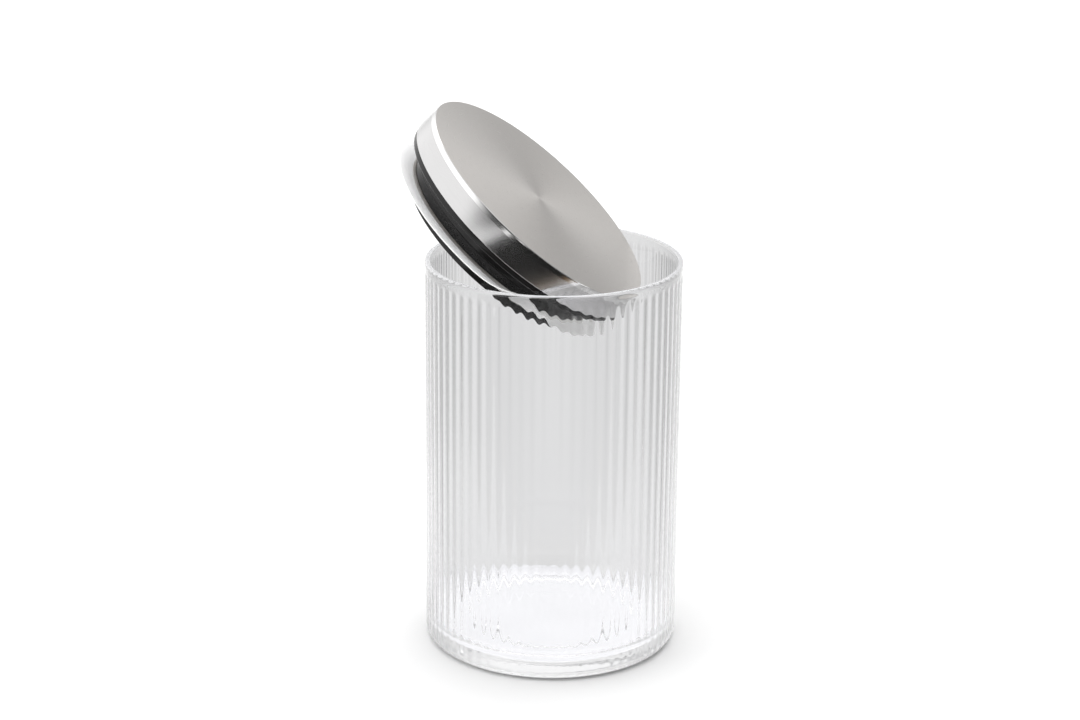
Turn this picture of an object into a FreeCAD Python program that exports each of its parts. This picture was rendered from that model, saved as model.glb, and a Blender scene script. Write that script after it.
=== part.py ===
"""Fluted glass storage canister with a steel press-in lid that leans in its mouth.

Millimetres, +Z up. The origin is the centre of the jar's underside, on the surface it stands on.
Each lid piece is first modelled upright in the lid's own frame, where z = 0 is the top face and
the pieces hang below it, and is then leaned into the mouth with one shared placement.
"""
import FreeCAD, Part
import math
import os

Vector = FreeCAD.Vector

# Jar: outside
JAR_HEIGHT = 156.3
JAR_RADIUS = 50.0
RIM_RADIUS = 50.1
FOOT_CORNER = 4.2
RIB_COUNT = 72
RIB_DEPTH = 0.25
RIB_BOTTOM = 4.5
RIB_TOP = 153.3

# Jar: inside and underside
MOUTH_RADIUS = 47.8
FLOOR_THICKNESS = 5.5
FLOOR_FILLET = 8.0
PAD_RADIUS = 26.0
PUNT_RADIUS = 40.0
PUNT_SLOPE = 2.0
PUNT_DEPTH = 0.8

# Lid: steel cap
CAP_FACE_RADIUS = 52.1
CAP_EDGE_RADIUS = 52.3
CAP_EDGE_DROP = 2.1
CAP_SKIRT_RADIUS = 52.6
CAP_HEIGHT = 10.6
CAP_SHEET = 0.8

# Lid: pad that bonds the cap to the plug
PAD_THICKNESS = 0.8
BOND_PAD_RADIUS = 49.0

# Lid: moulded plug
PLUG_WALL = 2.0
PLUG_TOP_RADIUS = 51.2
PLUG_FLANGE_RADIUS = 52.2
PLUG_FLANGE_THICKNESS = 2.3
PLUG_NECK_RADIUS = 45.6
PLUG_SPIGOT_RADIUS = 42.0
NECK_HEIGHT = 4.2
PLUG_RIB_COUNT = 6
PLUG_RIB_THICKNESS = 1.6
PLUG_HUB_RADIUS = 6.0

# Lid: ring that clamps the seal against the base plate
CLAMP_TOP_RADIUS = 45.3
CLAMP_FOOT_RADIUS = 44.4
CLAMP_HEIGHT = 3.8
CLAMP_CHAMFER = 0.3

# Lid: flexible lip seal
SEAL_HUB_RADIUS = 44.9
SEAL_HUB_HEIGHT = 2.6
LIP_RADIUS = 51.8
LIP_ROOT_DROP = 1.1
LIP_TIP_DROP = 0.6
LIP_TIP_THICKNESS = 0.7
SEAL_CLEARANCE = 0.5

# Lid: base plate that closes the plug
BASE_PLATE_RADIUS = 42.3
BASE_PLATE_THICKNESS = 3.8
BASE_PLATE_CORNER = 0.5
SNAP_RING_RADIUS = 39.0
SNAP_RING_HEIGHT = 3.0
SNAP_RING_WALL = 1.5
SNAP_CLEARANCE = 0.3

# How the lid leans: tilt from level, compass bearing of its low side from +X, and where the
# centre of its top face is (along the bearing from the jar's axis, and above the ground)
LEAN_ANGLE = 41.0
LEAN_BEARING = -9.7
LEAN_OFFSET = -5.8
LEAN_HEIGHT = 179.9

# Heights in the lid's frame, counted down from the top face
PAD_TOP_Z = -CAP_SHEET
PLUG_TOP_Z = PAD_TOP_Z - PAD_THICKNESS
FLANGE_TOP_Z = -CAP_HEIGHT
NECK_TOP_Z = FLANGE_TOP_Z - PLUG_FLANGE_THICKNESS
CLAMP_TOP_Z = NECK_TOP_Z - NECK_HEIGHT
SEAL_TOP_Z = CLAMP_TOP_Z - CLAMP_HEIGHT
SEAL_FOOT_Z = SEAL_TOP_Z - SEAL_HUB_HEIGHT
BASE_PLATE_FOOT_Z = SEAL_FOOT_Z - BASE_PLATE_THICKNESS


def revolve(edges):
    """Turn a closed outline in the XZ plane about the Z axis into a solid."""
    face = Part.Face(Part.Wire(edges))
    return face.revolve(Vector(0, 0, 0), Vector(0, 0, 1), 360)


def outline(points):
    """Straight edges through (radius, height) points, closed back to the first."""
    corners = [Vector(r, 0, z) for r, z in points]
    return [Part.makeLine(a, b) for a, b in zip(corners, corners[1:] + corners[:1])]


def turned(points):
    """Solid turned from a closed outline of (radius, height) points."""
    return revolve(outline(points))


def ring(inner, outer, low, high):
    """Plain ring with a square section."""
    return turned([(inner, low), (outer, low), (outer, high), (inner, high)])


def line(start, end):
    return Part.makeLine(Vector(start[0], 0, start[1]), Vector(end[0], 0, end[1]))


def corner_arc(centre, radius, start_angle, end_angle):
    """Arc in the XZ plane about a centre, angles in degrees from the outward direction."""
    def at(angle):
        turn = math.radians(angle)
        return Vector(centre[0] + radius * math.cos(turn), 0, centre[1] + radius * math.sin(turn))
    return Part.Arc(at(start_angle), at((start_angle + end_angle) / 2), at(end_angle)).toShape()


def fluted_column(low, high):
    """Upright prism whose outside is a ring of convex ribs that meet in sharp valleys."""
    pitch = 2 * math.pi / RIB_COUNT
    valley = JAR_RADIUS - RIB_DEPTH

    def at(radius, turn):
        return Vector(radius * math.cos(turn), radius * math.sin(turn), low)

    arcs = []
    for index in range(RIB_COUNT):
        middle = index * pitch
        arc = Part.Arc(at(valley, middle - pitch / 2), at(JAR_RADIUS, middle), at(valley, middle + pitch / 2))
        arcs.append(arc.toShape())
    return Part.Face(Part.Wire(arcs)).extrude(Vector(0, 0, high - low))


def jar_foot():
    """Solid foot of the jar with a rounded outer corner and a shallow ring-shaped punt."""
    corner_centre = (JAR_RADIUS - FOOT_CORNER, FOOT_CORNER)
    punt_inner = PAD_RADIUS + PUNT_SLOPE
    punt_outer = PUNT_RADIUS + PUNT_SLOPE
    edges = [
        line((0, 0), (PAD_RADIUS, 0)),
        line((PAD_RADIUS, 0), (punt_inner, PUNT_DEPTH)),
        line((punt_inner, PUNT_DEPTH), (PUNT_RADIUS, PUNT_DEPTH)),
        line((PUNT_RADIUS, PUNT_DEPTH), (punt_outer, 0)),
        line((punt_outer, 0), (corner_centre[0], 0)),
        corner_arc(corner_centre, FOOT_CORNER, -90, 0),
        line((JAR_RADIUS, FOOT_CORNER), (JAR_RADIUS, RIB_BOTTOM)),
        line((JAR_RADIUS, RIB_BOTTOM), (0, RIB_BOTTOM)),
        line((0, RIB_BOTTOM), (0, 0)),
    ]
    return revolve(edges)


def jar_cavity():
    """Space inside the jar: flat floor, large inner fillet, straight wall, out past the rim."""
    above = JAR_HEIGHT + 10
    fillet_centre = (MOUTH_RADIUS - FLOOR_FILLET, FLOOR_THICKNESS + FLOOR_FILLET)
    edges = [
        line((0, FLOOR_THICKNESS), (fillet_centre[0], FLOOR_THICKNESS)),
        corner_arc(fillet_centre, FLOOR_FILLET, -90, 0),
        line((MOUTH_RADIUS, fillet_centre[1]), (MOUTH_RADIUS, above)),
        line((MOUTH_RADIUS, above), (0, above)),
        line((0, above), (0, FLOOR_THICKNESS)),
    ]
    return revolve(edges)


def jar_rim():
    """Fire-polished rim: a smooth band above the ribs with a fully rounded top."""
    bead = (RIM_RADIUS - MOUTH_RADIUS) / 2
    bead_centre = (MOUTH_RADIUS + bead, JAR_HEIGHT - bead)
    inner = MOUTH_RADIUS - 1
    edges = [
        line((inner, RIB_TOP), (RIM_RADIUS, RIB_TOP)),
        line((RIM_RADIUS, RIB_TOP), (RIM_RADIUS, bead_centre[1])),
        corner_arc(bead_centre, bead, 0, 180),
        line((MOUTH_RADIUS, bead_centre[1]), (inner, bead_centre[1])),
        line((inner, bead_centre[1]), (inner, RIB_TOP)),
    ]
    return revolve(edges)


def glass_jar():
    solid = jar_foot().fuse([fluted_column(RIB_BOTTOM, RIB_TOP), jar_rim()])
    return solid.cut(jar_cavity()).removeSplitter()


def cap_shell():
    """Pressed steel cap: flat face, narrow polished edge band and a slightly flared skirt."""
    return turned([
        (0, 0),
        (CAP_FACE_RADIUS, 0),
        (CAP_EDGE_RADIUS, -CAP_EDGE_DROP),
        (CAP_SKIRT_RADIUS, -CAP_HEIGHT),
        (CAP_SKIRT_RADIUS - CAP_SHEET, -CAP_HEIGHT),
        (CAP_EDGE_RADIUS - CAP_SHEET, -CAP_EDGE_DROP),
        (CAP_EDGE_RADIUS - CAP_SHEET, -CAP_SHEET),
        (0, -CAP_SHEET),
    ])


def bond_pad():
    """Thin adhesive foam disc between the cap's underside and the top of the plug."""
    return turned([
        (0, PAD_TOP_Z),
        (BOND_PAD_RADIUS, PAD_TOP_Z),
        (BOND_PAD_RADIUS, PLUG_TOP_Z),
        (0, PLUG_TOP_Z),
    ])


def plug_rib(index):
    """One radial stiffening rib inside the plug."""
    inner_radius = PLUG_SPIGOT_RADIUS - PLUG_WALL + 0.5
    ceiling = PLUG_TOP_Z - PLUG_WALL + 0.5
    foot = SEAL_FOOT_Z + SNAP_RING_HEIGHT + SNAP_CLEARANCE
    rib = Part.makeBox(inner_radius, PLUG_RIB_THICKNESS, ceiling - foot, Vector(0, -PLUG_RIB_THICKNESS / 2, foot))
    rib.rotate(Vector(0, 0, 0), Vector(0, 0, 1), index * 360 / PLUG_RIB_COUNT)
    return rib


def plug_body():
    """Black moulded plug: hollow from below, with a flange under the cap, a neck and a spigot."""
    cavity_radius = PLUG_SPIGOT_RADIUS - PLUG_WALL
    shell = turned([
        (0, PLUG_TOP_Z),
        (PLUG_TOP_RADIUS, PLUG_TOP_Z),
        (PLUG_TOP_RADIUS, FLANGE_TOP_Z),
        (PLUG_FLANGE_RADIUS, FLANGE_TOP_Z),
        (PLUG_FLANGE_RADIUS, NECK_TOP_Z),
        (PLUG_NECK_RADIUS, NECK_TOP_Z),
        (PLUG_NECK_RADIUS, CLAMP_TOP_Z),
        (PLUG_SPIGOT_RADIUS, CLAMP_TOP_Z),
        (PLUG_SPIGOT_RADIUS, SEAL_FOOT_Z),
        (cavity_radius, SEAL_FOOT_Z),
        (cavity_radius, PLUG_TOP_Z - PLUG_WALL),
        (0, PLUG_TOP_Z - PLUG_WALL),
    ])
    hub_foot = SEAL_FOOT_Z + SNAP_RING_HEIGHT + SNAP_CLEARANCE
    hub = Part.makeCylinder(PLUG_HUB_RADIUS, PLUG_TOP_Z - PLUG_WALL + 0.5 - hub_foot, Vector(0, 0, hub_foot))
    ribs = [plug_rib(index) for index in range(PLUG_RIB_COUNT)]
    return shell.fuse([hub] + ribs).removeSplitter()


def clamp_ring():
    """Black ring on the spigot, between the neck and the seal, with a chamfered top edge."""
    return turned([
        (PLUG_SPIGOT_RADIUS, CLAMP_TOP_Z),
        (CLAMP_TOP_RADIUS - CLAMP_CHAMFER, CLAMP_TOP_Z),
        (CLAMP_TOP_RADIUS, CLAMP_TOP_Z - CLAMP_CHAMFER),
        (CLAMP_FOOT_RADIUS, SEAL_TOP_Z),
        (PLUG_SPIGOT_RADIUS, SEAL_TOP_Z),
    ])


def lip_seal():
    """Silicone ring with a thin lip that is wider than the mouth, in the lid's frame."""
    root_z = SEAL_TOP_Z - LIP_ROOT_DROP
    tip_z = SEAL_TOP_Z - LIP_TIP_DROP
    return turned([
        (PLUG_SPIGOT_RADIUS, SEAL_TOP_Z),
        (SEAL_HUB_RADIUS - 0.5, SEAL_TOP_Z),
        (SEAL_HUB_RADIUS, root_z),
        (LIP_RADIUS, tip_z),
        (LIP_RADIUS, tip_z - LIP_TIP_THICKNESS),
        (SEAL_HUB_RADIUS, SEAL_FOOT_Z),
        (PLUG_SPIGOT_RADIUS, SEAL_FOOT_Z),
    ])


def jar_keep_out():
    """Upright sleeve round the jar's wall, which the lip is folded clear of where it leans."""
    return ring(MOUTH_RADIUS - SEAL_CLEARANCE, 2 * JAR_RADIUS, 0, JAR_HEIGHT + SEAL_CLEARANCE)


def base_plate():
    """Rounded plate that closes the plug from below, with a snap ring inside the spigot."""
    corner_centre = (BASE_PLATE_RADIUS - BASE_PLATE_CORNER, BASE_PLATE_FOOT_Z + BASE_PLATE_CORNER)
    plate = revolve([
        line((0, SEAL_FOOT_Z), (0, BASE_PLATE_FOOT_Z)),
        line((0, BASE_PLATE_FOOT_Z), (corner_centre[0], BASE_PLATE_FOOT_Z)),
        corner_arc(corner_centre, BASE_PLATE_CORNER, -90, 0),
        line((BASE_PLATE_RADIUS, corner_centre[1]), (BASE_PLATE_RADIUS, SEAL_FOOT_Z)),
        line((BASE_PLATE_RADIUS, SEAL_FOOT_Z), (0, SEAL_FOOT_Z)),
    ])
    snap_ring = ring(SNAP_RING_RADIUS - SNAP_RING_WALL, SNAP_RING_RADIUS, SEAL_FOOT_Z, SEAL_FOOT_Z + SNAP_RING_HEIGHT)
    return plate.fuse(snap_ring).removeSplitter()


def lean_placement():
    """Placement that takes an upright lid piece to where it leans in the jar's mouth."""
    bearing = FreeCAD.Rotation(Vector(0, 0, 1), LEAN_BEARING)
    tilt = FreeCAD.Rotation(Vector(0, 1, 0), LEAN_ANGLE)
    centre = bearing.multVec(Vector(LEAN_OFFSET, 0, 0)) + Vector(0, 0, LEAN_HEIGHT)
    return FreeCAD.Placement(centre, bearing.multiply(tilt))


def leaned(shape):
    """Copy of an upright lid piece in its leaning place."""
    placed = shape.copy()
    placed.transformShape(lean_placement().toMatrix(), True)
    return placed


def main():
    nodes = {
        "glass_jar": glass_jar(),
        "cap_shell": leaned(cap_shell()),
        "bond_pad": leaned(bond_pad()),
        "plug_body": leaned(plug_body()),
        "clamp_ring": leaned(clamp_ring()),
        "lip_seal": leaned(lip_seal()).cut(jar_keep_out()),
        "base_plate": leaned(base_plate()),
    }
    os.makedirs("parts", exist_ok=True)
    for name, shape in nodes.items():
        shape.exportStep(f"parts/{name}.step")


main()
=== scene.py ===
"""Looks of the fluted glass canister: jar, leaning steel lid, studio and camera. Metres, +Z up."""

import math

import bmesh
import bpy
from mathutils import Matrix, Vector


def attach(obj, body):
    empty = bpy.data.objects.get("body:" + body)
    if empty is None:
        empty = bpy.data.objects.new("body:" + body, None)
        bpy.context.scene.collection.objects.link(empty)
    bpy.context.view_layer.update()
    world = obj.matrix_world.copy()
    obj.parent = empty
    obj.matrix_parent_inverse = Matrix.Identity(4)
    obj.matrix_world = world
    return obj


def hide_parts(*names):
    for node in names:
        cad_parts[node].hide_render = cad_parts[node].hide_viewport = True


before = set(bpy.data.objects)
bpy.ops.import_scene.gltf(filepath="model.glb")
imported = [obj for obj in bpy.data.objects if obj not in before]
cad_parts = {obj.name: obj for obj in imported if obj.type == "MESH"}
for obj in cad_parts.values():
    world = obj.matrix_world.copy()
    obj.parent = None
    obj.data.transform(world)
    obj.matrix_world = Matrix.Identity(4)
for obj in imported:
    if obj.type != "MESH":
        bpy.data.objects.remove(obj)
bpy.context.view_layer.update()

MM = 0.001

# Jar, millimetres
JAR_HEIGHT = 156.3
JAR_RADIUS = 50.0
RIM_RADIUS = 50.1
MOUTH_RADIUS = 47.8
FOOT_CORNER = 4.2
FLOOR_THICKNESS = 5.5
FLOOR_FILLET = 8.0
PAD_RADIUS = 26.0
PUNT_RADIUS = 40.0
PUNT_DEPTH = 0.8
PUNT_RAMP = 2.0
PUNT_FILLET = 1.0
RIB_COUNT = 72
RIB_DEPTH = 0.25
RIB_START = 0.2
RIB_FULL_LOW = 2.5
RIB_FULL_HIGH = 150.5
RIB_END = 153.3
COLUMNS_PER_RIB = 14

# Lid, millimetres, in its own frame: z = 0 is the top face, everything hangs below it
CAP_FACE_RADIUS = 52.1
CAP_FLAT_RADIUS = CAP_FACE_RADIUS - 0.4
CAP_BAND_RADIUS = CAP_FACE_RADIUS - 0.2
CAP_FACE_DEPTH = 0.05
CAP_EDGE_RADIUS = 52.3
CAP_EDGE_DROP = 2.1
CAP_SKIRT_RADIUS = 52.6
CAP_HEIGHT = 10.6
CAP_SHEET = 0.8
PLUG_TOP_Z = -1.6
PLUG_TOP_RADIUS = 51.2
PLUG_WALL = 2.0
FLANGE_RADIUS = 52.2
FLANGE_FOOT_Z = -12.9
NECK_RADIUS = 45.6
CLAMP_TOP_Z = -17.1
CLAMP_TOP_RADIUS = 45.3
CLAMP_FOOT_RADIUS = 44.4
SPIGOT_RADIUS = 42.0
SEAL_TOP_Z = -20.9
SEAL_FOOT_Z = -23.5
SEAL_HUB_RADIUS = 44.9
LIP_RADIUS = 51.8
LIP_ROOT_Z = -21.8
LIP_TIP_Z = -21.5
LIP_TIP_THICKNESS = 0.4
BASE_PLATE_RADIUS = 42.3
BASE_PLATE_FOOT_Z = -27.3
BASE_PLATE_CORNER = 0.5

# Fold of the silicone lip at the two places where the rim presses it: a sharp bend and a broad one,
# in degrees round the lid and degrees of bend. The bend is full at LIP_BEND_REACH millimetres.
LIP_FOLD_BEARING = 66.0
LIP_SHARP_WIDTH = 12.0
LIP_SHARP_BEND = 38.0
LIP_BROAD_WIDTH = 35.0
LIP_BROAD_BEND = 4.0
LIP_BEND_REACH = 4.0

# Lean of the lid in the mouth
LEAN_ANGLE = math.radians(41.0)
LEAN_BEARING = math.radians(-9.7)
LEAN_OFFSET = -5.8
LEAN_HEIGHT = 179.9

LATHE_STEPS = 256

# Steel tints: the face is a little warmer than the skirt
FACE_DARK = (0.575, 0.553, 0.53, 1)
FACE_LIGHT = (0.645, 0.62, 0.595, 1)
SKIRT_DARK = (0.57, 0.565, 0.565, 1)
SKIRT_LIGHT = (0.64, 0.635, 0.635, 1)

# Silicone: painted glow everywhere (emission standing in for light, though the silicone is no lamp), and
# the painted glow added on the part that hangs inside the jar
SILICONE_PAINTED_GLOW = 0.03
SILICONE_PAINTED_GLOW_IN_JAR = 0.36

# Part of a noise's range that is spread over the values asked for
NOISE_LOW = 0.3
NOISE_HIGH = 0.7

# Light paths inside the thick ribbed glass need many turns before they come out
GLASS_BOUNCES = 128

# Studio, metres: the floor lies a hair below the jar so that no two faces coincide
FLOOR_Z = -0.0003
CARD_GAP = 0.0001
DARK_CARD_RISE = 0.002
PALE_DISC_RADIUS = 0.055
PALE_DISC_X = -0.004
PALE_DISC_CORNERS = 96
BACKDROP_LEVEL = 0.79

# Brightness of the world as plain rays, polished surfaces and rays through glass see it, and the
# share of the last that reaches matt surfaces
WORLD_PLAIN = 0.8
WORLD_MIRRORED = 0.72
WORLD_THROUGH_GLASS = 0.95
WORLD_SCATTERED_SHARE = 0.12

# Camera: metres, degrees and millimetres of lens
CAMERA_AIM = (0, 0, 0.075)
CAMERA_DISTANCE = 1.0945
CAMERA_PITCH = 20.73
CAMERA_PAN = 0.271
CAMERA_LIFT = 1.964
CAMERA_ROLL = -0.602
CAMERA_LENS = 92.1


# ---------------------------------------------------------------- mesh helpers

def rounded(corners, steps=6):
    """Outline through (radius, z, fillet) corners, each corner rounded by its fillet radius."""
    points = []
    count = len(corners)
    for index, (r, z, fillet) in enumerate(corners):
        here = Vector((r, z))
        if fillet <= 0 or index in (0, count - 1):
            points.append(tuple(here))
            continue
        before = (Vector(corners[index - 1][:2]) - here).normalized()
        after = (Vector(corners[index + 1][:2]) - here).normalized()
        half = before.angle(after) / 2
        reach = fillet / math.tan(half)
        centre = here + (before + after).normalized() * (fillet / math.sin(half))
        start = here + before * reach - centre
        end = here + after * reach - centre
        for step in range(steps + 1):
            points.append(tuple(centre + start.slerp(end, step / steps).normalized() * fillet))
    return points


def new_object(name, mesh, body, nodes):
    """Object for a finished mesh: it rides on a body and stands for CAD nodes."""
    if body == "lid":
        mesh.transform(lean_matrix())
    piece = bpy.data.objects.new(name, mesh)
    bpy.context.scene.collection.objects.link(piece)
    for polygon in mesh.polygons:
        polygon.use_smooth = True
    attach(piece, body)
    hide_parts(*nodes)


def grid_mesh(name, rows, columns, place, closed_ends):
    """Mesh round the Z axis: rows of columns of points, with poles or a closed loop of rows."""
    mesh = bpy.data.meshes.new(name)
    bm = bmesh.new()
    rings = []
    for row in range(rows):
        if closed_ends and row in (0, rows - 1):
            rings.append([bm.verts.new(place(row, 0))])
        else:
            rings.append([bm.verts.new(place(row, column)) for column in range(columns)])
    pairs = list(zip(rings, rings[1:]))
    if not closed_ends:
        pairs.append((rings[-1], rings[0]))
    for low, high in pairs:
        for column in range(columns):
            after = (column + 1) % columns
            if len(low) == 1:
                bm.faces.new((low[0], high[column], high[after]))
            elif len(high) == 1:
                bm.faces.new((low[column], high[0], low[after]))
            else:
                bm.faces.new((low[column], high[column], high[after], low[after]))
    bmesh.ops.recalc_face_normals(bm, faces=bm.faces)
    bm.to_mesh(mesh)
    bm.free()
    return mesh


def lathe(name, outline, closed_ends=True):
    """Solid turned from (radius, z) points in millimetres."""
    def place(row, column):
        r, z = outline[row]
        turn = 2 * math.pi * column / LATHE_STEPS
        return (r * math.cos(turn) * MM, r * math.sin(turn) * MM, z * MM)
    return grid_mesh(name, len(outline), LATHE_STEPS, place, closed_ends)


def lean_matrix():
    """Where the lid's own frame sits in the jar's frame."""
    bearing = Matrix.Rotation(LEAN_BEARING, 4, "Z")
    tilt = Matrix.Rotation(LEAN_ANGLE, 4, "Y")
    offset = bearing @ Vector((LEAN_OFFSET * MM, 0, 0))
    return Matrix.Translation(offset + Vector((0, 0, LEAN_HEIGHT * MM))) @ bearing @ tilt


# ---------------------------------------------------------------- materials

def new_material(name):
    material = bpy.data.materials.new(name)
    material.use_nodes = True
    shader = material.node_tree.nodes["Principled BSDF"]
    return material, material.node_tree, shader


def add_node(tree, kind, **settings):
    node = tree.nodes.new(kind)
    for key, value in settings.items():
        setattr(node, key, value)
    return node


def feed(tree, socket, value):
    """Set a number or a colour on a socket, or link another socket to it."""
    if isinstance(value, (int, float, tuple)):
        socket.default_value = value
    else:
        tree.links.new(value, socket)


def math_node(tree, operation, *values):
    node = add_node(tree, "ShaderNodeMath", operation=operation)
    for socket, value in zip(node.inputs, values):
        feed(tree, socket, value)
    return node.outputs[0]


def mix_node(tree, data_type, factor, first, second):
    """The first value where the factor is zero, the second where it is one."""
    node = add_node(tree, "ShaderNodeMix", data_type=data_type)
    for name, value in (("Factor", factor), ("A", first), ("B", second)):
        feed(tree, node.inputs[name], value)
    return node.outputs["Result"]


def separate(tree, vector):
    """Sockets for the X, Y and Z of a vector."""
    node = add_node(tree, "ShaderNodeSeparateXYZ")
    tree.links.new(vector, node.inputs[0])
    return node.outputs


def object_noise(tree, scale):
    """Noise laid over an object's own coordinates."""
    coords = add_node(tree, "ShaderNodeTexCoord")
    noise = add_node(tree, "ShaderNodeTexNoise")
    noise.inputs["Scale"].default_value = scale
    noise.inputs["Detail"].default_value = 2.0
    tree.links.new(coords.outputs["Object"], noise.inputs["Vector"])
    return noise.outputs["Fac"]


def fade(tree, value, start, end, far):
    """One up to the start value, then changing smoothly to the far level at the end value."""
    node = add_node(tree, "ShaderNodeMapRange", interpolation_type="SMOOTHSTEP")
    node.inputs["From Min"].default_value = start
    node.inputs["From Max"].default_value = end
    node.inputs["To Min"].default_value = 1.0
    node.inputs["To Max"].default_value = far
    tree.links.new(value, node.inputs["Value"])
    return node.outputs["Result"]


def lid_coordinates(tree):
    """Position in the lid's own frame, whose Z axis is the axis that it was turned and brushed about."""
    coords = add_node(tree, "ShaderNodeTexCoord")
    level = add_node(tree, "ShaderNodeMapping", vector_type="TEXTURE")
    lean = lean_matrix()
    level.inputs["Location"].default_value = lean.to_translation()
    level.inputs["Rotation"].default_value = lean.to_euler()
    tree.links.new(coords.outputs["Object"], level.inputs["Vector"])
    return level.outputs[0]


def distance_from_axis(tree, point):
    """Distance of a point in the lid's own frame from the lid's axis."""
    across = math_node(tree, "MULTIPLY", point["X"], point["X"])
    along = math_node(tree, "MULTIPLY", point["Y"], point["Y"])
    return math_node(tree, "SQRT", math_node(tree, "ADD", across, along))


def round_the_lid(tree):
    """Direction of the brush marks: a circle about the lid's axis through each point."""
    coords = add_node(tree, "ShaderNodeTexCoord")
    lean = lean_matrix()
    from_axis = add_node(tree, "ShaderNodeVectorMath", operation="SUBTRACT")
    tree.links.new(coords.outputs["Object"], from_axis.inputs[0])
    from_axis.inputs[1].default_value = lean.to_translation()
    along = add_node(tree, "ShaderNodeVectorMath", operation="CROSS_PRODUCT")
    along.inputs[0].default_value = lean.col[2].to_3d()
    tree.links.new(from_axis.outputs[0], along.inputs[1])
    return along.outputs[0]


def brushed_pattern(tree, lines_per_metre, along):
    """Noise drawn out round the lid's axis, like the marks of a spinning brush."""
    point = separate(tree, lid_coordinates(tree))
    radius = distance_from_axis(tree, point)
    angle = math_node(tree, "ARCTAN2", point["Y"], point["X"])
    join = add_node(tree, "ShaderNodeCombineXYZ")
    tree.links.new(math_node(tree, "MULTIPLY", radius, lines_per_metre), join.inputs[0])
    tree.links.new(math_node(tree, "MULTIPLY", angle, along), join.inputs[1])
    tree.links.new(math_node(tree, "MULTIPLY", point["Z"], lines_per_metre), join.inputs[2])
    noise = add_node(tree, "ShaderNodeTexNoise")
    noise.inputs["Scale"].default_value = 1.0
    noise.inputs["Detail"].default_value = 4.0
    tree.links.new(join.outputs[0], noise.inputs["Vector"])
    return noise.outputs["Fac"]


def map_range(tree, value, low, high):
    """Spread the middle of a noise's range over the values from low to high."""
    node = add_node(tree, "ShaderNodeMapRange")
    node.inputs["From Min"].default_value = NOISE_LOW
    node.inputs["From Max"].default_value = NOISE_HIGH
    node.inputs["To Min"].default_value = low
    node.inputs["To Max"].default_value = high
    tree.links.new(value, node.inputs["Value"])
    return node.outputs["Result"]


def add_bump(tree, shader, height, strength, distance):
    bump = add_node(tree, "ShaderNodeBump")
    bump.inputs["Strength"].default_value = strength
    bump.inputs["Distance"].default_value = distance
    tree.links.new(height, bump.inputs["Height"])
    tree.links.new(bump.outputs["Normal"], shader.inputs["Normal"])


def brushed_steel(name, roughness, anisotropy, lines_per_metre, dark, light):
    """Stainless steel brushed in circles about the lid's axis, in two close tints."""
    material, tree, shader = new_material(name)
    shader.inputs["Metallic"].default_value = 1.0
    shader.inputs["Anisotropic"].default_value = anisotropy
    pattern = brushed_pattern(tree, lines_per_metre, along=6.0)
    tree.links.new(mix_node(tree, "RGBA", pattern, dark, light), shader.inputs["Base Color"])
    rough = map_range(tree, pattern, roughness * 0.9, roughness * 1.1)
    tree.links.new(rough, shader.inputs["Roughness"])
    shader.inputs["Anisotropic Rotation"].default_value = 0.25
    tree.links.new(round_the_lid(tree), shader.inputs["Tangent"])
    add_bump(tree, shader, pattern, 0.02, 0.00002)
    return material


def polished_steel():
    """Bright band round the edge of the cap's face, with faint turning marks."""
    material, tree, shader = new_material("polished_steel")
    shader.inputs["Metallic"].default_value = 1.0
    shader.inputs["Base Color"].default_value = (0.86, 0.855, 0.85, 1)
    pattern = brushed_pattern(tree, lines_per_metre=4000, along=0.8)
    tree.links.new(map_range(tree, pattern, 0.10, 0.16), shader.inputs["Roughness"])
    return material


def moulded_black():
    """Black moulded plastic with a fine satin grain."""
    material, tree, shader = new_material("moulded_black")
    shader.inputs["Specular IOR Level"].default_value = 0.30
    grain = object_noise(tree, 2600.0)
    shade = mix_node(tree, "RGBA", grain, (0.006, 0.006, 0.006, 1), (0.014, 0.013, 0.013, 1))
    tree.links.new(shade, shader.inputs["Base Color"])
    tree.links.new(map_range(tree, grain, 0.144, 0.184), shader.inputs["Roughness"])
    add_bump(tree, shader, grain, 0.08, 0.00002)
    return material


def foam_pad():
    """Pale matt foam with fine open cells, each painted darker in its hollow as shade."""
    material, tree, shader = new_material("foam_pad")
    shader.inputs["Roughness"].default_value = 0.95
    shader.inputs["Specular IOR Level"].default_value = 0.2
    coords = add_node(tree, "ShaderNodeTexCoord")
    cells = add_node(tree, "ShaderNodeTexVoronoi")
    cells.inputs["Scale"].default_value = 1500.0
    tree.links.new(coords.outputs["Object"], cells.inputs["Vector"])
    depth = cells.outputs["Distance"]
    # Painted shade: the colour is darker where the cell is deepest
    tint = mix_node(tree, "RGBA", depth, (0.70, 0.70, 0.67, 1), (0.85, 0.85, 0.82, 1))
    tree.links.new(tint, shader.inputs["Base Color"])
    add_bump(tree, shader, depth, 0.3, 0.0002)
    return material


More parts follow.
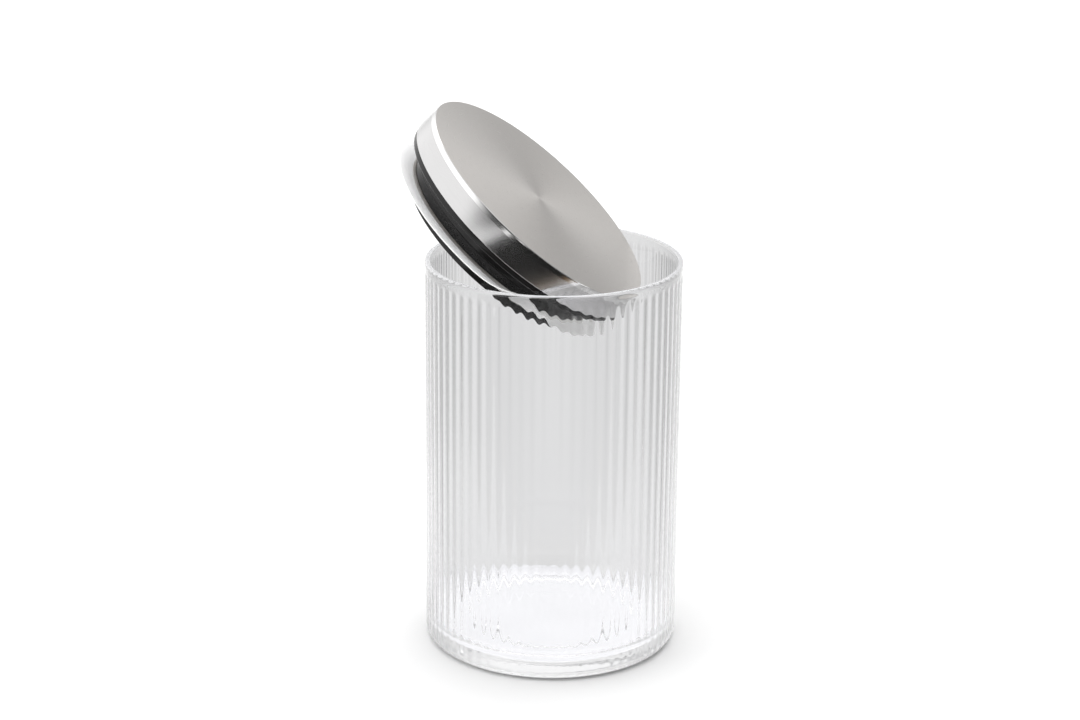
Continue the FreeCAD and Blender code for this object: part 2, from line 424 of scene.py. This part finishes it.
def silicone():
    """Pale, slightly cloudy silicone, with painted shade darkening the lip's root and a painted glow,
    strongest where it hangs in the jar.
    """
    material, tree, shader = new_material("silicone")
    shader.inputs["Subsurface Weight"].default_value = 1.0
    shader.inputs["Subsurface Radius"].default_value = (1.0, 1.0, 1.0)
    shader.inputs["Subsurface Scale"].default_value = 0.003
    shader.inputs["Emission Color"].default_value = (1.0, 1.0, 0.99, 1)
    shader.inputs["IOR"].default_value = 1.41
    clouds = object_noise(tree, 90.0)
    tint = mix_node(tree, "RGBA", clouds, (0.88, 0.88, 0.895, 1), (0.92, 0.92, 0.93, 1))
    point = separate(tree, lid_coordinates(tree))
    in_the_jar = math_node(tree, "SUBTRACT", 1.0, fade(tree, point["X"], 0.0, 0.03, 0.0))
    # Painted glow: emission standing in for light scattered in the silicone, more where it hangs in the
    # jar
    glow = math_node(tree, "MULTIPLY_ADD", in_the_jar, SILICONE_PAINTED_GLOW_IN_JAR, SILICONE_PAINTED_GLOW)
    tree.links.new(glow, shader.inputs["Emission Strength"])
    radius = distance_from_axis(tree, point)
    # Painted shade: the lip turns dark brown towards its root, next to the black plug
    root_painted_shade = fade(tree, radius, 0.04495, 0.0456, 0.0)
    colour = mix_node(tree, "RGBA", root_painted_shade, tint, (0.30, 0.28, 0.26, 1))
    tree.links.new(colour, shader.inputs["Base Color"])
    tree.links.new(map_range(tree, clouds, 0.30, 0.36), shader.inputs["Roughness"])
    return material


def clear_glass():
    """Clear soda glass with the faint waviness of a pressed and fire-polished surface."""
    material, tree, shader = new_material("clear_glass")
    shader.inputs["Base Color"].default_value = (0.985, 0.986, 0.99, 1)
    shader.inputs["Roughness"].default_value = 0.0
    shader.inputs["IOR"].default_value = 1.5
    shader.inputs["Transmission Weight"].default_value = 1.0
    coords = add_node(tree, "ShaderNodeTexCoord")
    stretch = add_node(tree, "ShaderNodeMapping")
    stretch.inputs["Scale"].default_value = (60, 60, 3)
    waves = add_node(tree, "ShaderNodeTexNoise")
    waves.inputs["Scale"].default_value = 1.0
    waves.inputs["Detail"].default_value = 2.0
    tree.links.new(coords.outputs["Object"], stretch.inputs["Vector"])
    tree.links.new(stretch.outputs[0], waves.inputs["Vector"])
    add_bump(tree, shader, waves.outputs["Fac"], 0.06, 0.0004)
    return material


def floor_paper():
    """Matt white paper with a very faint tooth."""
    material, tree, shader = new_material("floor_paper")
    shader.inputs["Roughness"].default_value = 0.9
    shader.inputs["Specular IOR Level"].default_value = 0.0
    tooth = object_noise(tree, 30.0)
    tint = mix_node(tree, "RGBA", tooth, (0.93, 0.93, 0.93, 1), (0.96, 0.96, 0.96, 1))
    tree.links.new(tint, shader.inputs["Base Color"])
    return material


# ---------------------------------------------------------------- jar

def jar_outline():
    """Jar section from the middle of the underside, up the outside, over the rim, down to the floor."""
    bead = (RIM_RADIUS - MOUTH_RADIUS) / 2
    foot = rounded([
        (0, 0, 0),
        (PAD_RADIUS, 0, PUNT_FILLET),
        (PAD_RADIUS + PUNT_RAMP, PUNT_DEPTH, PUNT_FILLET),
        (PUNT_RADIUS, PUNT_DEPTH, PUNT_FILLET),
        (PUNT_RADIUS + PUNT_RAMP, 0, PUNT_FILLET),
        (JAR_RADIUS, 0, FOOT_CORNER),
        (JAR_RADIUS, 5.0, 0),
    ], 12)
    low_rows = [6, 7, 8, 9, 10, 12]
    straight_rows = [30, 60, 90, 120, 140, 148, 149.5]
    fading_rows = [RIB_FULL_HIGH, 151, 151.5, 152, 152.5, 152.8, 153.1, RIB_END]
    wall = [(JAR_RADIUS, z) for z in low_rows + straight_rows + fading_rows]
    rim = [(RIM_RADIUS - 0.05, 153.8), (RIM_RADIUS, 154.4)]
    for step in range(13):
        turn = math.pi * step / 12
        r = MOUTH_RADIUS + bead + bead * math.cos(turn)
        z = JAR_HEIGHT - bead + bead * math.sin(turn)
        rim.append((r, z))
    inside = rounded([
        (MOUTH_RADIUS, 150, 0),
        (MOUTH_RADIUS, 60, 0),
        (MOUTH_RADIUS, FLOOR_THICKNESS, FLOOR_FILLET),
        (30, FLOOR_THICKNESS, 0),
        (0, FLOOR_THICKNESS, 0),
    ], 12)
    return foot + wall + rim + inside


def smooth_step(low, high, value):
    """Zero up to the low value, one from the high value on, and smooth between."""
    share = min(max((value - low) / (high - low), 0.0), 1.0)
    return share * share * (3 - 2 * share)


def rib_inset(turn, z):
    """How far the outside lies below the rib crests, with ribs that fade at both ends."""
    pitch = 2 * math.pi / RIB_COUNT
    across = abs((turn / pitch + 0.5) % 1.0 - 0.5) * 2
    strength = smooth_step(RIB_START, RIB_FULL_LOW, z) * (1 - smooth_step(RIB_FULL_HIGH, RIB_END, z))
    return RIB_DEPTH * (0.5 - 0.5 * math.cos(math.pi * across)) * strength


def build_jar():
    outline = jar_outline()
    columns = RIB_COUNT * COLUMNS_PER_RIB
    middle = (JAR_RADIUS + MOUTH_RADIUS) / 2

    def place(row, column):
        r, z = outline[row]
        turn = 2 * math.pi * column / columns
        outside = r > middle
        radius = r - (rib_inset(turn, z) if outside else 0)
        return (radius * math.cos(turn) * MM, radius * math.sin(turn) * MM, z * MM)

    mesh = grid_mesh("fluted_jar", len(outline), columns, place, True)
    mesh.materials.append(clear_glass())
    new_object("fluted_jar", mesh, "jar", ["glass_jar"])


# ---------------------------------------------------------------- lid

def build_cap():
    """Steel cap: brushed face, narrow polished edge band and brushed skirt, each with its own steel."""
    outline = [(r, 0) for r in (0, 10, 25, 40, CAP_FLAT_RADIUS)]
    outline += rounded([
        (CAP_FLAT_RADIUS, 0, 0),
        (CAP_BAND_RADIUS, 0, 0.05),
        (CAP_FACE_RADIUS - 0.02, -0.25, 0.15),
        (CAP_EDGE_RADIUS - 0.15, -0.62, 0.3),
        (CAP_EDGE_RADIUS - 0.02, -CAP_EDGE_DROP, 0.3),
        (CAP_SKIRT_RADIUS, -CAP_HEIGHT, 0.25),
        (CAP_SKIRT_RADIUS - CAP_SHEET, -CAP_HEIGHT, 0.2),
        (CAP_EDGE_RADIUS - CAP_SHEET, -CAP_SHEET, 0.2),
        (0, -CAP_SHEET, 0),
    ], 4)[1:]
    mesh = lathe("steel_cap", outline)
    face = brushed_steel("face_steel", roughness=0.30, anisotropy=0.75, lines_per_metre=4000,
                         dark=FACE_DARK, light=FACE_LIGHT)
    band = polished_steel()
    skirt = brushed_steel("skirt_steel", roughness=0.22, anisotropy=0.55, lines_per_metre=5000,
                          dark=SKIRT_DARK, light=SKIRT_LIGHT)
    for steel in (face, band, skirt):
        mesh.materials.append(steel)
    for polygon in mesh.polygons:
        height = polygon.center.z / MM
        out = math.hypot(polygon.center.x, polygon.center.y) / MM
        if height > -CAP_FACE_DEPTH and out < CAP_BAND_RADIUS:
            polygon.material_index = 0
        elif height > -CAP_EDGE_DROP:
            polygon.material_index = 1
        else:
            polygon.material_index = 2
    new_object("steel_cap", mesh, "lid", ["cap_shell"])


def build_lid_part(name, outline, closed_ends, material, node):
    """Turned part of the lid in one material, standing for one CAD node."""
    mesh = lathe(name, outline, closed_ends)
    mesh.materials.append(material)
    new_object(name, mesh, "lid", [node])


def plug_outline():
    return rounded([
        (0, PLUG_TOP_Z, 0),
        (PLUG_TOP_RADIUS, PLUG_TOP_Z, 0.3),
        (PLUG_TOP_RADIUS, -CAP_HEIGHT, 0),
        (FLANGE_RADIUS, -CAP_HEIGHT, 0.3),
        (FLANGE_RADIUS, FLANGE_FOOT_Z, 0.5),
        (NECK_RADIUS, FLANGE_FOOT_Z, 0.5),
        (NECK_RADIUS, CLAMP_TOP_Z, 0.3),
        (SPIGOT_RADIUS, CLAMP_TOP_Z, 0),
        (SPIGOT_RADIUS, SEAL_FOOT_Z, 0),
        (SPIGOT_RADIUS - PLUG_WALL, SEAL_FOOT_Z, 0),
        (SPIGOT_RADIUS - PLUG_WALL, PLUG_TOP_Z - PLUG_WALL, 1.0),
        (0, PLUG_TOP_Z - PLUG_WALL, 0),
    ])


def clamp_outline():
    return rounded([
        (SPIGOT_RADIUS, CLAMP_TOP_Z - 1, 0),
        (SPIGOT_RADIUS, CLAMP_TOP_Z, 0),
        (CLAMP_TOP_RADIUS, CLAMP_TOP_Z, 0.35),
        (CLAMP_FOOT_RADIUS, SEAL_TOP_Z, 0.3),
        (SPIGOT_RADIUS, SEAL_TOP_Z, 0),
        (SPIGOT_RADIUS, SEAL_TOP_Z + 1, 0),
    ])


def base_plate_outline():
    return rounded([
        (0, SEAL_FOOT_Z, 0),
        (BASE_PLATE_RADIUS, SEAL_FOOT_Z, 0.3),
        (BASE_PLATE_RADIUS, BASE_PLATE_FOOT_Z, BASE_PLATE_CORNER),
        (0, BASE_PLATE_FOOT_Z, 0),
    ])


def lip_fold(turn):
    """Angle that the lip is folded up by, where the rim of the jar holds it at the two sides."""
    away = abs(abs(math.degrees(turn)) - LIP_FOLD_BEARING)
    sharp = math.exp(-((away / LIP_SHARP_WIDTH) ** 2))
    broad = math.exp(-((away / LIP_BROAD_WIDTH) ** 2))
    return math.radians(LIP_SHARP_BEND * sharp + LIP_BROAD_BEND * broad)


def build_lip_seal(material):
    """Silicone ring whose thin lip folds up where it is pressed against the rim."""
    outline = rounded([
        (SPIGOT_RADIUS, SEAL_TOP_Z - 1, 0),
        (SPIGOT_RADIUS, SEAL_TOP_Z, 0),
        (SEAL_HUB_RADIUS, SEAL_TOP_Z, 0.35),
        (SEAL_HUB_RADIUS, LIP_ROOT_Z, 0.7),
        (LIP_RADIUS, LIP_TIP_Z, 0.15),
        (LIP_RADIUS, LIP_TIP_Z - LIP_TIP_THICKNESS, 0.15),
        (SEAL_HUB_RADIUS, SEAL_FOOT_Z + 0.4, 0.4),
        (SPIGOT_RADIUS, SEAL_FOOT_Z, 0),
        (SPIGOT_RADIUS, SEAL_FOOT_Z + 1, 0),
    ])
    steps = LATHE_STEPS * 2
    pivot_z = (LIP_ROOT_Z + SEAL_FOOT_Z) / 2

    def place(row, column):
        r, z = outline[row]
        turn = 2 * math.pi * column / steps
        signed = (turn + math.pi) % (2 * math.pi) - math.pi
        reach = r - SEAL_HUB_RADIUS
        if reach > 0:
            bend = lip_fold(signed) * smooth_step(0, LIP_BEND_REACH, reach)
            rise = z - pivot_z
            r = SEAL_HUB_RADIUS + reach * math.cos(bend) - rise * math.sin(bend)
            z = pivot_z + reach * math.sin(bend) + rise * math.cos(bend)
        return (r * math.cos(turn) * MM, r * math.sin(turn) * MM, z * MM)

    mesh = grid_mesh("silicone_lip", len(outline), steps, place, False)
    mesh.materials.append(material)
    new_object("silicone_lip", mesh, "lid", ["lip_seal"])


def build_lid():
    black = moulded_black()
    build_cap()
    build_lid_part("plug", plug_outline(), True, black, "plug_body")
    build_lid_part("clamp_band", clamp_outline(), False, black, "clamp_ring")
    build_lid_part("plug_base", base_plate_outline(), True, black, "base_plate")
    build_lip_seal(silicone())
    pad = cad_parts["bond_pad"].data
    pad.materials.clear()
    pad.materials.append(foam_pad())


# ---------------------------------------------------------------- studio

def sheet(name, edge, z, material):
    """Flat studio card with the given outline, lying at one height."""
    mesh = bpy.data.meshes.new(name)
    mesh.from_pydata([(x, y, z) for x, y in edge], [], [range(len(edge))])
    mesh.materials.append(material)
    card = bpy.data.objects.new(name, mesh)
    bpy.context.scene.collection.objects.link(card)
    return card


def emission_material(name):
    """Studio material that only gives off light: the material, its tree and its emission node."""
    material, tree, shader = new_material(name)
    tree.nodes.remove(shader)
    emit = add_node(tree, "ShaderNodeEmission")
    tree.links.new(emit.outputs[0], tree.nodes["Material Output"].inputs["Surface"])
    return material, tree, emit


def dark_card_material():
    """Dim studio beyond the table's front edge."""
    material, tree, emit = emission_material("dark_studio")
    coords = add_node(tree, "ShaderNodeTexCoord")
    ramp = add_node(tree, "ShaderNodeValToRGB")
    tree.links.new(separate(tree, coords.outputs["Generated"])["Y"], ramp.inputs["Fac"])
    ramp.color_ramp.elements[0].position = 0.965
    ramp.color_ramp.elements[0].color = (0.015, 0.015, 0.015, 1)
    ramp.color_ramp.elements[1].position = 1.0
    ramp.color_ramp.elements[1].color = (0.42, 0.38, 0.34, 1)
    brown = ramp.color_ramp.elements.new(0.985)
    brown.color = (0.16, 0.10, 0.05, 1)
    tree.links.new(ramp.outputs["Color"], emit.inputs["Color"])
    return material


def lit_table_material():
    """Glowing card under the jar, a little cloudy: painted light, a pool standing in for the light that
    the glass base gathers onto the table.
    """
    material, tree, emit = emission_material("lit_table")
    # Painted light: this card glows under the jar and is seen only through the glass
    emit.inputs["Color"].default_value = (0.975, 0.975, 1, 1)
    clouds = object_noise(tree, 40.0)
    tree.links.new(map_range(tree, clouds, 0.97, 1.03), emit.inputs["Strength"])
    return material


def grey_backdrop_material():
    """Light grey glowing card that gets darker away from the middle: painted light, shaped as the pool
    under a lamp behind the jar.
    """
    material, tree, emit = emission_material("grey_backdrop")
    coords = add_node(tree, "ShaderNodeTexCoord")
    point = separate(tree, coords.outputs["Object"])
    depth = math_node(tree, "ADD", point["Y"], 1.0)
    aside = math_node(tree, "DIVIDE", math_node(tree, "ABSOLUTE", point["X"]), depth)
    # Painted light: the glow falls off to the sides like a lamp's pool
    level = math_node(tree, "MULTIPLY", fade(tree, aside, 0.03, 0.18, 0.5), BACKDROP_LEVEL)
    tree.links.new(level, emit.inputs["Strength"])
    return material


def rectangle(left, right, front, back):
    """Corners of a card, in metres, from the front left one round to the back left one."""
    return (left, front), (right, front), (right, back), (left, back)


def build_studio():
    """White floor, with a dark card that shows only in reflections and two pale glowing cards of painted
    light seen only through glass.
    """
    sheet("floor", rectangle(-4, 4, -4, 4), FLOOR_Z, floor_paper())
    edge = rectangle(-0.45, 0.9, -1.6, -0.148)
    dark = sheet("dark_card", edge, FLOOR_Z + DARK_CARD_RISE, dark_card_material())
    edge = rectangle(-3, 3, -0.9, 4)
    grey = sheet("grey_card", edge, FLOOR_Z + CARD_GAP, grey_backdrop_material())
    # Pale disc of painted light under the jar
    edge = []
    for corner in range(PALE_DISC_CORNERS):
        turn = 2 * math.pi * corner / PALE_DISC_CORNERS
        x = PALE_DISC_RADIUS * math.cos(turn) + PALE_DISC_X
        edge.append((x, PALE_DISC_RADIUS * math.sin(turn)))
    pale = sheet("pale_disc", edge, FLOOR_Z + 2 * CARD_GAP, lit_table_material())
    for card in (dark, grey, pale):
        card.visible_camera = False
        card.visible_diffuse = False
        card.visible_shadow = False
    dark.visible_transmission = False
    grey.visible_glossy = False
    pale.visible_glossy = False


def mirrored_level(tree, x, front):
    """Brightness that polished surfaces see: more on the left, less on the right and at the front."""
    dim_right = fade(tree, x, 0.45, 0.75, 0.4)
    glow_left = fade(tree, x, -0.12, -0.6, 1.85)
    dim_front = fade(tree, front, 0.55, 0.88, 0.07)
    sides = math_node(tree, "MULTIPLY", dim_right, glow_left)
    shaped = math_node(tree, "MULTIPLY", sides, dim_front)
    return math_node(tree, "MULTIPLY", shaped, WORLD_MIRRORED)


def through_glass_level(tree, x, front, path):
    """Brightness seen through glass: less at the front and far aside, and much less on matt surfaces."""
    dim_front = fade(tree, front, -0.2, 0.8, 0.3)
    dim_aside = fade(tree, math_node(tree, "ABSOLUTE", x), 0.35, 0.85, 0.45)
    away = math_node(tree, "MULTIPLY", dim_front, dim_aside)
    seen = math_node(tree, "MULTIPLY", away, WORLD_THROUGH_GLASS)
    scattered = math_node(tree, "GREATER_THAN", path.outputs["Diffuse Depth"], 0.5)
    return math_node(tree, "MULTIPLY", seen, fade(tree, scattered, 0.0, 1.0, WORLD_SCATTERED_SHARE))


def build_world():
    """Even pale studio, with levels of its own for polished surfaces and for rays through glass."""
    world = bpy.data.worlds.new("studio")
    bpy.context.scene.world = world
    world.use_nodes = True
    tree = world.node_tree
    back = tree.nodes["Background"]
    coords = add_node(tree, "ShaderNodeTexCoord")
    direction = separate(tree, coords.outputs["Generated"])
    x = direction["X"]
    front = math_node(tree, "MULTIPLY", direction["Y"], -1)
    path = add_node(tree, "ShaderNodeLightPath")
    outside = math_node(tree, "LESS_THAN", path.outputs["Transmission Depth"], 0.5)
    inside = math_node(tree, "SUBTRACT", 1.0, outside)
    mirrored = math_node(tree, "MULTIPLY", path.outputs["Is Glossy Ray"], outside)
    plain = mix_node(tree, "FLOAT", inside, WORLD_PLAIN, through_glass_level(tree, x, front, path))
    level = mix_node(tree, "FLOAT", mirrored, plain, mirrored_level(tree, x, front))
    back.inputs["Color"].default_value = (1, 1, 1, 1)
    tree.links.new(level, back.inputs["Strength"])


def area_light(name, place, target, size, power):
    light = bpy.data.lights.new(name, "AREA")
    light.shape = "RECTANGLE"
    light.size = size[0]
    light.size_y = size[1]
    light.energy = power
    lamp = bpy.data.objects.new(name, light)
    bpy.context.scene.collection.objects.link(lamp)
    lamp.location = place
    lamp.rotation_euler = (Vector(target) - Vector(place)).to_track_quat("-Z", "Y").to_euler()
    return lamp


def build_lights():
    """Softboxes behind and on the left, and an even light from overhead."""
    area_light("back_softbox", place=(0.2, 0.55, 0.95), target=(0, 0, 0.15), size=(1.2, 0.9), power=2.9)
    left = area_light("left_softbox", place=(-0.95, -0.25, 0.5), target=(0, 0, 0.18),
                      size=(1.1, 0.8), power=4.2)
    left.visible_glossy = False
    sun = bpy.data.lights.new("overhead", "SUN")
    sun.energy = 1.1
    sun.angle = math.radians(70)
    lamp = bpy.data.objects.new("overhead", sun)
    bpy.context.scene.collection.objects.link(lamp)
    lamp.visible_glossy = False
    lamp.visible_transmission = False


def build_camera():
    """Portrait of the jar from 21 degrees above, with a long lens."""
    pitch = math.radians(CAMERA_PITCH)
    forward = Vector((0, math.cos(pitch), -math.sin(pitch)))
    right = Vector((1, 0, 0))
    up = right.cross(forward)
    place = Vector(CAMERA_AIM) - forward * CAMERA_DISTANCE
    turn = Matrix.Rotation(math.radians(CAMERA_PAN), 3, up)
    forward = turn @ forward
    right = turn @ right
    turn = Matrix.Rotation(math.radians(CAMERA_LIFT), 3, right)
    forward = turn @ forward
    up = turn @ up
    turn = Matrix.Rotation(math.radians(CAMERA_ROLL), 3, forward)
    up = turn @ up
    right = turn @ right
    data = bpy.data.cameras.new("camera")
    data.sensor_width = 36.0
    data.lens = CAMERA_LENS
    camera = bpy.data.objects.new("camera", data)
    bpy.context.scene.collection.objects.link(camera)
    axes = Matrix((right, up, -forward)).transposed()
    camera.matrix_world = Matrix.Translation(place) @ axes.to_4x4()
    bpy.context.scene.camera = camera


build_jar()
build_lid()
build_studio()
build_world()
build_lights()
build_camera()
bpy.context.scene.view_settings.view_transform = "Standard"
bpy.context.scene.cycles.max_bounces = GLASS_BOUNCES
bpy.context.scene.cycles.glossy_bounces = GLASS_BOUNCES
bpy.context.scene.cycles.transmission_bounces = GLASS_BOUNCES
